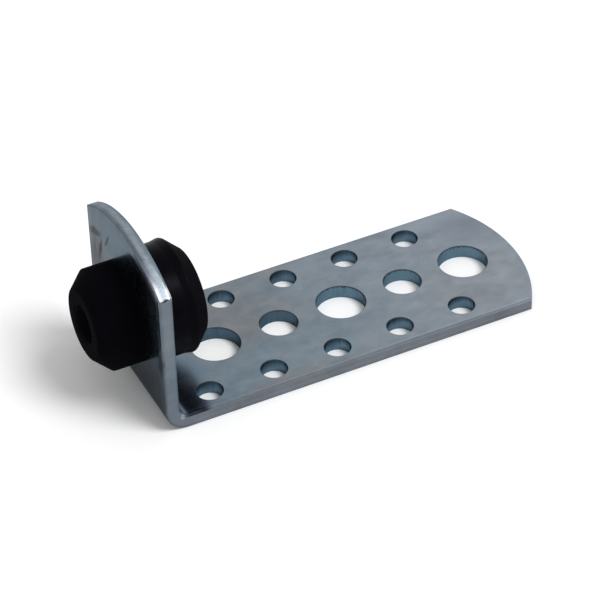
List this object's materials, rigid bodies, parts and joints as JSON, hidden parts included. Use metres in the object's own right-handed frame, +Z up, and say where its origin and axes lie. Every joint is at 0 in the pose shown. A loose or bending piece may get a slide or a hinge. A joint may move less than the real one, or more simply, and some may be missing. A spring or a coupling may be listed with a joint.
{
  "type": "acoustic hanger",
  "caption": "Right-angle steel hanger bracket with arc-shaped ends and staggered fixing holes; its short leg carries a flanged rubber isolator bored for a threaded rod.",
  "frame": {"origin": "where the rod bore's axis crosses the outer face of the short leg", "axes": "+X along the rod bore's axis and the long leg, away from the bend; +Y across the strip; +Z up the short leg, with the long leg's flat face towards -Z"},
  "size_m": [0.0974, 0.035, 0.0388],
  "materials": {
    "zinc_plated_steel": "bright zinc plating, faintly clouded, with a bluish cast",
    "black_rubber": "moulded, semi-matt"
  },
  "bodies": {
    "root": {"bracket": "zinc_plated_steel", "isolator": "black_rubber"}
  },
  "joints": []
}
